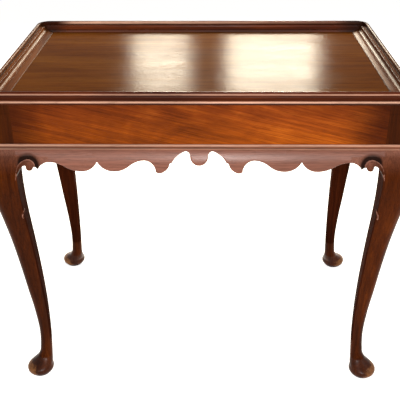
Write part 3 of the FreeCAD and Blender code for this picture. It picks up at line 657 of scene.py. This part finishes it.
def wave(start, end, side):
    """Points after start to end along two equal arcs that turn opposite ways."""
    across, down = end[0] - start[0], end[1] - start[1]
    radius = abs((across * across + down * down) / (4 * down))
    middle = ((start[0] + end[0]) / 2, (start[1] + end[1]) / 2)
    turn = side if down > 0 else -side
    return (scallop_arc(start, middle, turn * radius, 8)
            + scallop_arc(middle, end, -turn * radius, 8))


def apron_edge(half, pendants):
    """Half of the apron's lower edge, from its middle to the bracket's joint, as (place, drop)."""
    edge = [(0.0, 27.4)]
    edge += scallop_arc((0, 27.4), (16.4, 11), -16.4, 14)
    edge += scallop_arc((16.4, 11), (24.4, 3), 8, 8)
    start = (24.4, 3.0)
    if pendants:
        edge += scallop_arc(start, (49, 22.4), 40, 10)
        edge += [(53, 23.9)]
        edge += scallop_arc((53, 23.9), (64.5, 39.5), -21, 8)
        edge += scallop_arc((64.5, 39.5), (78.5, 39.5), -11.2, 8)
        edge += scallop_arc((78.5, 39.5), (98.4, 18.4), 21.1, 12)
        start = (98.4, 18.4)
    joint = half - POST - BRACKET_LENGTH
    run = joint - start[0]
    lobe = (start[0] + 0.32 * run, 38.5)
    cusp = (start[0] + 0.494 * run, 20.7)
    last = (start[0] + 0.656 * run, 38.5)
    peak = (joint, 21.5)
    edge += wave(start, lobe, 1)
    down = lobe[1] - cusp[1]
    for here, there in ((lobe, cusp), (cusp, last)):
        across = there[0] - here[0]
        edge += scallop_arc(here, there, -(across * across + down * down) / (2 * down), 10)
    return edge + wave(last, peak, 1)


EDGE_ROUNDING, JOINT_ROUNDING = 1.3, 0.12
APRON_CELL, BRACKET_CELL = 2.6, 0.8    # between the points on a face


def board(name, node, side, half, outline, material, cell):
    """A board with a shaped outline, a face that follows face_out with rounded edges, and a flat
    back. The outline is (place, drop), closed, and may go round either way."""
    loop = np.array(outline, float)
    loop = loop[np.linalg.norm(loop - np.roll(loop, 1, axis=0), axis=1) > 0.05]
    count = len(loop)
    before, after = np.roll(loop, 1, axis=0), np.roll(loop, -1, axis=0)

    def unit(v):
        return v / np.maximum(np.linalg.norm(v, axis=1), 1e-9)[:, None]
    tangent_in, tangent_out = unit(loop - before), unit(after - loop)
    area = np.sum(loop[:, 0] * after[:, 1] - after[:, 0] * loop[:, 1]) / 2
    turn = 1 if area > 0 else -1

    def normal(t):
        return np.stack([-t[:, 1], t[:, 0]], axis=1) * turn
    bisector = unit(normal(tangent_in) + normal(tangent_out))
    cosine = np.clip(np.sum(bisector * normal(tangent_in), axis=1), 0.5, 1)
    inwards = bisector / cosine[:, None]
    open_edge = (loop[:, 1] > SEAT_DROP + 0.5)
    joined = np.abs(np.abs(loop[:, 0]) - (half - POST)) < 0.2
    joint = half - POST - BRACKET_LENGTH
    at_joint = np.abs(np.abs(loop[:, 0]) - joint) < 0.2
    rounding = np.where(open_edge & ~joined & ~at_joint, EDGE_ROUNDING, JOINT_ROUNDING)

    rings, outs, grime_and_shade_rings, wears = [], [], [], []
    steps = 4
    for k in range(steps + 1):
        angle = math.pi / 2 * k / steps
        ring = loop + inwards * (rounding * (1 - math.cos(angle)))[:, None]
        out, grime_and_shade, worn = face_out(half, ring[:, 0], ring[:, 1])
        rings.append(ring)
        outs.append(out - rounding * (1 - math.sin(angle)))
        grime_and_shade_rings.append(grime_and_shade)
        wears.append(worn)
    inner = rings[-1]
    low, high = inner.min(axis=0), inner.max(axis=0)
    xs = np.arange(low[0] + cell / 2, high[0], cell)
    ys = np.arange(low[1] + cell / 2, high[1], cell)
    grid = np.stack(np.meshgrid(xs, ys), axis=-1).reshape(-1, 2)
    grid[:, 0] += np.where((np.round(grid[:, 1] / cell) % 2) > 0, cell / 2, 0)
    gap, _ = distance_to(np.vstack([inner, inner[:1]]), grid[:, 0], grid[:, 1])
    grid = grid[(gap > cell * 0.55) & inside(inner, grid)]
    flat = np.vstack([inner, grid])
    made = delaunay_2d_cdt([Vector(p) for p in flat], [(i, (i + 1) % count) for i in range(count)],
                           [list(range(count))], 1, 1e-6)
    out_points = np.array([tuple(v) for v in made[0]])
    triangles = [tuple(f) for f in made[2]]
    origin = [o[0] if o else -1 for o in made[3]]

    layers = [(rings[k], -outs[k], grime_and_shade_rings[k], wears[k]) for k in range(steps)]
    out, grime_and_shade, worn = face_out(half, out_points[:, 0], out_points[:, 1])
    layers.append((out_points, -out, grime_and_shade, worn))
    # The back is darkened, and the board's edges darken towards it.
    layers.append((loop, np.full(count, float(BOARD_THICK)), np.full(count, 0.9),
                   np.zeros(count)))
    points, dirt_and_shade, wear, painted_sheen, starts = [], [], [], [], []
    total = 0
    for flat_points, depth, grime_and_shade, worn in layers:
        starts.append(total)
        total += len(flat_points)
        points.append(side_place(side, flat_points[:, 0], depth, FRIEZE_FOOT - flat_points[:, 1]))
        dirt_and_shade.append(grime_and_shade)
        wear.append(worn)
        # A painted sheen along the apron and the top of the brackets.
        painted_sheen.append(painted_sheen_amount(half - POST - np.abs(flat_points[:, 0]), flat_points[:, 1]))
    index_of = {o: i for i, o in enumerate(origin) if 0 <= o < count}
    face_ring = [starts[steps] + index_of[i] for i in range(count)]
    faces = []

    def strip(a, b):
        for i in range(count):
            j = (i + 1) % count
            faces.append((a[i], a[j], b[j], b[i]) if turn > 0 else (a[j], a[i], b[i], b[j]))
    names = [list(range(starts[k], starts[k] + count)) for k in range(steps)] + [face_ring]
    back = list(range(starts[-1], starts[-1] + count))
    for a, b in zip(names[1:], names[:-1]):
        strip(a, b)
    strip(names[0], back)
    for t in triangles:
        ids = [starts[steps] + i for i in t]
        a, b, c = (out_points[i] for i in t)
        facing = (b[0] - a[0]) * (c[1] - a[1]) - (b[1] - a[1]) * (c[0] - a[0])
        faces.append(tuple(ids) if facing < 0 else tuple(reversed(ids)))
    faces.append(tuple(back) if turn < 0 else tuple(reversed(back)))
    add_mesh(name, np.concatenate(points), faces, [node], material, smooth_angle=40,
             attributes={"grime_and_shade": np.concatenate(dirt_and_shade), "wear": np.concatenate(wear),
                         "painted_sheen": np.concatenate(painted_sheen)})


def inside(loop, places):
    """Which places lie inside a closed outline."""
    x, y = places[:, 0], places[:, 1]
    result = np.zeros(len(places), bool)
    for a, b in zip(loop, np.roll(loop, -1, axis=0)):
        crosses = (a[1] > y) != (b[1] > y)
        with np.errstate(divide="ignore", invalid="ignore"):
            at = (b[0] - a[0]) * (y - a[1]) / (b[1] - a[1]) + a[0]
        result ^= crosses & (x < at)
    return result


def apron_outline(half, pendants):
    """The apron's scalloped edge, cut away at both ends over the brackets."""
    right = apron_edge(half, pendants)
    left = [(-x, d) for x, d in reversed(right[1:])]
    end = half - POST
    joint = end - BRACKET_LENGTH
    top = [(end, 0.0), (-end, 0.0)]
    outline = left + right
    outline += densify([outline[-1], (joint, SEAT_DROP), (end, SEAT_DROP), top[0]], 2.5)[1:]
    outline += densify(top, 6)[1:]
    outline += densify([top[1], (-end, SEAT_DROP), (-joint, SEAT_DROP), outline[0]], 2.5)[1:-1]
    return outline


def densify(points, step):
    """The line through points, with more points about a step apart."""
    made = [points[0]]
    for a, b in zip(points, points[1:]):
        a, b = np.array(a, float), np.array(b, float)
        pieces = max(1, int(round(np.linalg.norm(b - a) / step)))
        made += [tuple(a + (b - a) * k / pieces) for k in range(1, pieces + 1)]
    return made


def bracket_outline(half, sign):
    """One knee bracket: the joint with the apron, a lobe, the tip, the scroll's eye, the notch and
    the leg's face. It is drawn for the left end and turned over for the right one."""
    tip = (40.0, 35.2)
    valley = (32.4, 30.6)
    peak = (BRACKET_LENGTH, 21.5)
    radius = EYE_RADIUS + 0.3
    points = [(BRACKET_LENGTH, SEAT_DROP), peak]
    points += scallop_arc(peak, tip, -24, 12)
    points += densify([tip, valley], 1.2)[1:]
    points += [(EYE[0] + radius * math.cos(a), EYE[1] + radius * math.sin(a))
               for a in np.radians(np.linspace(5, 190, 22))]
    notch = curve_through([(18.2, 29.6), (16.4, 28.6), (12.6, 29.8), (8.2, 34.0), (4.4, 39.4),
                           (1.4, 45.4), (0.0, 49.0)], 6)
    points += [tuple(p) for p in notch]
    points += densify([(0.0, 49.0), (0.0, SEAT_DROP)], 1.5)[1:]
    points += densify([(0.0, SEAT_DROP), (BRACKET_LENGTH, SEAT_DROP)], 2.0)[1:-1]
    end = half - POST
    return [(sign * (end - away), drop) for away, drop in points]


for side in SIDES:
    board(f"scalloped_apron_{side}", f"apron_{side}", side, HALF[side],
          apron_outline(HALF[side], side in LONG_SIDES), mahogany[grain_of(side)], APRON_CELL)
ENDS = {"front": ("left", "right"), "right": ("front", "back"),
        "back": ("right", "left"), "left": ("back", "front")}
for side, ends in ENDS.items():
    for end_name, sign in zip(ends, (-1, 1)):
        board(f"carved_bracket_{side}_{end_name}", f"knee_bracket_{side}_{end_name}", side,
              HALF[side], bracket_outline(HALF[side], sign), knee_wood, BRACKET_CELL)


# ---------------------------------------------------------------- the legs

# Share of the way from the pad's top to the frieze's foot, how far the section stands out beyond
# the post on its outer and its inner side, and its outer, side and inner roundings.
STATIONS = [
    (0.015, -7.0, 4.8, 20.4, 20.4, 20.4), (0.030, -16.0, 4.3, 15.6, 15.6, 15.6),
    (0.049, -21.5, 4.5, 13, 13, 13), (0.080, -24.3, 5.4, 12, 12, 12),
    (0.132, -26.4, 6.7, 11.6, 11.6, 11.6), (0.254, -24.0, 8.0, 12.5, 11.5, 11),
    (0.378, -17.5, 7.2, 14, 10, 10), (0.498, -11.2, 5.4, 16, 8.5, 12),
    (0.611, -4.2, 3.3, 18, 7, 16), (0.722, 4.8, 0.8, 21, 5, 20), (0.818, 13.1, 0, 22, 2.5, 25),
    (0.883, 17.0, 0, 21, 1.2, 25), (0.930, 16.0, 0, 16, 0.5, 20), (0.968, 10.8, 0, 10, 0.5, 14),
    (1.0, 1.0, 0, 4, 0.5, 10),
]
KNEE_SHARE = 0.818                 # above this the outer side follows the knee's curve
PAD_TOP = 20
PAD = [(0, 20.2), (0.6, 21), (3.0, 21.2), (3.6, 22.4), (6.0, 25.6), (9.0, 27.6), (12.5, 28.4),
       (16.0, 28.1), (19.0, 26.6)]     # (height, radius) of the turned foot
CORNER_POINTS = 12
FOOT_TOP, INNER_FOOT = 36, 80      # the worn foot ends, and the inner side, darker as painted shade, begins
INNER_POINTS = range(22, 54)       # the points of a ring that lie on the leg's inner side
SHOULDER, WALL = 620, 6            # above it the post is a wall round the top board


def rounded_square(low, high, outer, side, inner):
    """A square section with its outer corner at (low, low), against the clock, 64 points."""
    corners = [(low, low, outer, 180), (high, low, side, 270), (high, high, inner, 0),
               (low, high, side, 90)]
    arcs = []
    for x, y, radius, start in corners:
        radius = max(radius, 0.2)
        cx = x + radius if x == low else x - radius
        cy = y + radius if y == low else y - radius
        arcs.append([(cx + radius * math.cos(a), cy + radius * math.sin(a))
                     for a in np.radians(np.linspace(start, start + 90, CORNER_POINTS))])
    made = []
    for this, following in zip(arcs, arcs[1:] + arcs[:1]):
        a, b = np.array(this[-1]), np.array(following[0])
        made += this + [tuple(a + (b - a) * t) for t in (0.2, 0.4, 0.6, 0.8)]
    return np.array(made)


def leg_rings():
    """Rings of the leg from the floor up to the frieze, as (height, 64 points)."""
    half = POST / 2
    stations = np.array(STATIONS)
    shares = stations[:, 0]
    slopes = np.gradient(stations[:, 1:], shares, axis=0)

    def at(share):
        i = int(np.clip(np.searchsorted(shares, share) - 1, 0, len(shares) - 2))
        width = shares[i + 1] - shares[i]
        t = (share - shares[i]) / width
        a, b = stations[i, 1:], stations[i + 1, 1:]
        return ((2 * t ** 3 - 3 * t * t + 1) * a + (t ** 3 - 2 * t * t + t) * width * slopes[i]
                + (3 * t * t - 2 * t ** 3) * b + (t ** 3 - t * t) * width * slopes[i + 1])

    def ring_at(share):
        out, inn, *roundings = at(share)
        z = PAD_TOP + share * (FRIEZE_FOOT - PAD_TOP)
        if share > KNEE_SHARE:
            out = float(knee_face(FRIEZE_FOOT - z))
        return z, rounded_square(-half - out, half + inn, *roundings)
    near_circle = rounded_square(-1, 1, 0.98, 0.98, 0.98)
    angles = np.arctan2(near_circle[:, 1], near_circle[:, 0])
    rings = [(z, np.stack([radius * np.cos(angles), radius * np.sin(angles)], axis=1))
             for z, radius in PAD]
    pad_z, pad_ring = rings[-1]
    start_z, first = ring_at(shares[0])
    for t in (0.25, 0.5, 0.75):
        eased = t ** 1.15
        rings.append((pad_z + (start_z - pad_z) * t, pad_ring * (1 - eased) + first * eased))
    ankle = np.linspace(shares[0], 0.14, 26, endpoint=False)
    middle = np.linspace(0.14, 0.80, 60, endpoint=False)
    knee = np.linspace(0.80, 1.0, 44)
    return rings + [ring_at(share) for share in np.concatenate([ankle, middle, knee])]


def leg_mesh():
    """The front left leg round its own axis: its points, its faces, the darkening, wear and painted
    sheen of each point, and the material of each face (0 the leg's, 1 the inner side's, a darker
    copy as painted shade, 2 the foot's)."""
    rings = leg_rings()
    half = POST / 2
    for z in (FRIEZE_FOOT, FRIEZE_FOOT + 2, SHOULDER):
        rings.append((z, rounded_square(-half, half, 0.8, 0.4, 0.4)))
    count = len(rings[0][1])
    points, grime_and_shade, wear, painted_sheen = [], [], [], []
    for z, ring in rings:
        for x, y in ring:
            points.append((x, y, z))
            # A painted sheen on the knee's top, as on the brackets.
            painted_sheen.append(float(painted_sheen_amount(max(x, y) - half, FRIEZE_FOOT - z)) * (z < FRIEZE_FOOT + 1))
            # Darker at the pad's foot, up the foot, and on the post above the frieze's foot.
            grime_and_shade.append(0.6 * smooth((9 - z) / 3) + 0.35 * smooth((48 - z) / 20)
                         + 0.5 * smooth((z - FRIEZE_FOOT) / 2))
            scuffed = (0.82 * smooth((FOOT_TOP - z) / 14) * smooth(0.6 - x / 40)
                       + 0.4 * smooth((14 - z) / 4))
            wear.append(float(scuffed * smooth((z - 6) / 4)))
    faces = tube_faces(len(rings), count)
    chosen = [2 if z < FOOT_TOP else 1 if c in INNER_POINTS and z > INNER_FOOT else 0
              for z, _ in rings[:-1] for c in range(count)]
    wall = [(-half, -half), (half, -half), (half, WALL - half), (WALL - half, WALL - half),
            (WALL - half, half), (-half, half)]
    faces += shifted(tube_faces(2, len(wall)), len(points))
    points += [(x, y, z) for z in (SHOULDER - 0.5, FRIEZE_TOP) for x, y in wall]
    grime_and_shade += [0.5] * 2 * len(wall)
    wear += [0.0] * 2 * len(wall)
    for line in carved_lines(rings):
        for order in ([0, 1, 2], [1, 0, 2]):
            tube, its_faces = tapered_tube(line[:, order], line[:, 3])
            faces += shifted(its_faces, len(points))
            points += [tuple(p) for p in tube]
            grime_and_shade += [0.0] * len(tube)
            wear += [0.72] * len(tube)
    chosen += [0] * (len(faces) - len(chosen))
    painted_sheen += [0.0] * (len(points) - len(painted_sheen))
    return np.array(points), faces, {"grime_and_shade": grime_and_shade, "wear": wear, "painted_sheen": painted_sheen}, chosen


def carved_lines(rings):
    """The raised lines on the leg by its inner arris, as (x, y, z, radius): the tail of the
    scroll's ridge, and the small curl that ends the knee's carving lower down."""
    half = POST / 2
    tail = [(half + away, -half - float(knee_face(drop)) + 0.75, FRIEZE_FOOT - drop, radius)
            for away, drop, radius in ((0.4, 41, 1.5), (-0.6, 46, 1.4), (-1.6, 51, 1.1),
                                       (-2.2, 57, 0.7), (-2.4, 63, 0.2))]
    curl = [(22.6, -18.0, 425.0, 0.3), (23.2, -22.0, 427.0, 1.0), (23.3, -26.5, 425.5, 1.4),
            (22.6, -29.6, 422.0, 1.5), (21.0, -31.2, 418.5, 1.4), (19.6, -31.2, 414.5, 1.2),
            (19.8, -30.6, 411.0, 1.3), (21.4, -30.0, 409.4, 0.9), (22.2, -29.2, 411.0, 0.3)]
    return curve_through(tail, 4), seated(curve_through(curl, 5), rings)


def seated(line, rings):
    """A line moved sideways onto the leg's surface, so that its tube is half sunk in it."""
    made = []
    for x, y, z, radius in line:
        ring = min(rings, key=lambda each: abs(each[0] - z))[1]
        way = np.roll(ring, -1, axis=0) - ring
        share = np.sum((np.array([x, y]) - ring) * way, axis=1) / np.sum(way * way, axis=1)
        places = ring + way * np.clip(share, 0, 1)[:, None]
        nearest = places[np.argmin(np.hypot(places[:, 0] - x, places[:, 1] - y))]
        made.append((*nearest, z, radius))
    return np.array(made)


def tapered_tube(path, radii, around=8):
    """A closed tube of changing radius along a path."""
    path = np.asarray(path, float)
    ahead = np.gradient(path, axis=0)
    ahead /= np.linalg.norm(ahead, axis=1)[:, None]
    points = []
    for place, way, radius in zip(path, ahead, radii):
        side = np.cross(way, (1.0, 1.0, 0.3))
        side /= np.linalg.norm(side)
        up = np.cross(way, side)
        points += [place + max(radius, 0.1) * (math.cos(a) * side + math.sin(a) * up)
                   for a in np.linspace(0, 2 * math.pi, around, endpoint=False)]
    return points, tube_faces(len(path), around)


LEG_X, LEG_Y = FRAME_X - POST / 2, FRAME_Y - POST / 2
leg_points, leg_faces, leg_attributes, leg_chosen = leg_mesh()
CORNERS = {"front_left": (-1, -1), "front_right": (1, -1), "back_right": (1, 1),
           "back_left": (-1, 1)}
for corner, (sx, sy) in CORNERS.items():
    placed = leg_points * np.array([-sx, -sy, 1]) + np.array([sx * LEG_X, sy * LEG_Y, 0])
    faces = leg_faces if sx * sy > 0 else [tuple(reversed(f)) for f in leg_faces]
    add_mesh(f"cabriole_leg_{corner}", placed, faces, [f"leg_{corner}"], leg_wood,
             attributes=leg_attributes, smooth_angle=50,
             more=(leg_inner_shaded, foot_wood), chosen=leg_chosen)


# ---------------------------------------------------------------- nodes that stay

def dress(node, material):
    """Gives a CAD node that stays in the scene its material."""
    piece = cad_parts[node]
    piece.data.materials.clear()
    piece.data.materials.append(material)


dress("top_board", tray_wood)
for side in SIDES:
    dress(f"frieze_rail_{side}", frieze_wood[grain_of(side)])
    dress(f"glue_blocks_{side}", secondary)
for corner in CORNERS:
    dress(f"corner_brace_{corner}", secondary)


# ---------------------------------------------------------------- the stage

def seen_directly(tree):
    """1 where the camera, a reflection or a refraction sees the surface."""
    path = tree.nodes.new("ShaderNodeLightPath")
    total = path.outputs["Is Camera Ray"]
    for key in ("Is Glossy Ray", "Is Transmission Ray"):
        add = tree.nodes.new("ShaderNodeMath")
        add.operation = "MAXIMUM"
        tree.links.new(total, add.inputs[0])
        tree.links.new(path.outputs[key], add.inputs[1])
        total = add.outputs[0]
    return total


def glowing(tree, kind, strength, colour=(1, 1, 1)):
    """A background or an emission of one colour."""
    node = tree.nodes.new(kind)
    node.inputs["Color"].default_value = (*colour, 1)
    node.inputs["Strength"].default_value = strength
    return node.outputs[0]


def switched(tree, unseen, seen):
    """The second shader where the surface is seen directly, and the first one for its light."""
    node = tree.nodes.new("ShaderNodeMixShader")
    for source, target in zip((seen_directly(tree), unseen, seen), node.inputs):
        tree.links.new(source, target)
    return node.outputs[0]


def white_world(ambient):
    """A world that is white to look at and lights the table at the ambient strength."""
    world = bpy.data.worlds.new("studio")
    bpy.context.scene.world = world
    tree, surface = emptied(world, "ShaderNodeOutputWorld")
    lit = glowing(tree, "ShaderNodeBackground", ambient, (1.0, 0.97, 0.94))
    white = glowing(tree, "ShaderNodeBackground", 1.0)
    tree.links.new(switched(tree, lit, white), surface)


def floor():
    """A pale floor that keeps the table's shadow and glows only to the eye."""
    size = 14.0
    mesh = bpy.data.meshes.new("studio_floor")
    mesh.from_pydata([(-size, -size, 0), (size, -size, 0), (size, size, 0), (-size, size, 0)], [],
                     [(0, 1, 2, 3)])
    plane = new_object("studio_floor", mesh)
    material = bpy.data.materials.new("pale_floor")
    tree, surface = emptied(material, "ShaderNodeOutputMaterial")
    diffuse = tree.nodes.new("ShaderNodeBsdfDiffuse")
    diffuse.inputs["Color"].default_value = (0.86, 0.86, 0.86, 1)
    dark, glow = (glowing(tree, "ShaderNodeEmission", strength) for strength in (0.0, 0.72))
    add = tree.nodes.new("ShaderNodeAddShader")
    tree.links.new(diffuse.outputs[0], add.inputs[0])
    tree.links.new(switched(tree, dark, glow), add.inputs[1])
    tree.links.new(add.outputs[0], surface)
    mesh.materials.append(material)


def softbox(name, place, target, width, height, power, colour):
    """A lamp with a rectangular face, at a place in metres and turned to a target."""
    light = bpy.data.lights.new(name, "AREA")
    light.shape = "RECTANGLE"
    light.size, light.size_y = width, height
    light.energy = power
    light.color = colour
    lamp = new_object(name, light)
    lamp.location = place
    lamp.rotation_euler = (Vector(target) - Vector(place)).to_track_quat("-Z", "Y").to_euler()


WINDOW, FRONT, SIDE = (1.0, 0.90, 0.70), (1.0, 0.93, 0.90), (1.0, 0.96, 0.92)
white_world(0.3)
floor()
softbox("window_left", (-0.235, 2.05, 1.365), (-0.08, 0.0, 0.643), 0.27, 0.32, 32, WINDOW)
softbox("window_right", (0.328, 2.05, 1.365), (0.12, 0.0, 0.643), 0.45, 0.32, 66, WINDOW)
softbox("key_light", (0.09, -1.85, 1.2), (0.03, -0.25, 0.55), 0.34, 0.34, 17, FRONT)
softbox("front_softbox", (0.0, -1.95, 1.3), (0, -0.2, 0.55), 2.4, 0.55, 19, FRONT)
softbox("side_softbox", (2.4, -0.9, 1.7), (0, 0, 0.4), 1.2, 1.2, 10, SIDE)


# ---------------------------------------------------------------- the camera

def look():
    """The photo's view: place, pitch, turn and roll come from the camera fitted to it."""
    pitch, turn, roll = 0.515, 0.0191, -0.0061
    spin = np.array([[math.cos(turn), -math.sin(turn), 0], [math.sin(turn), math.cos(turn), 0],
                     [0, 0, 1]])
    ahead = spin @ np.array([0, math.cos(pitch), -math.sin(pitch)])
    right = spin @ np.array([1.0, 0, 0])
    up = np.cross(right, ahead)
    level_right = math.cos(roll) * right + math.sin(roll) * up
    level_up = -math.sin(roll) * right + math.cos(roll) * up
    data = bpy.data.cameras.new("photo_view")
    data.sensor_width = 36
    data.lens = 61.75
    camera = new_object("photo_view", data)
    matrix = Matrix(np.stack([level_right, level_up, -ahead], axis=1).tolist()).to_4x4()
    matrix.translation = Vector((22.27, -1347.76, 1078.86)) * MM
    camera.matrix_world = matrix
    bpy.context.scene.camera = camera


look()
bpy.context.scene.view_settings.view_transform = "Standard"
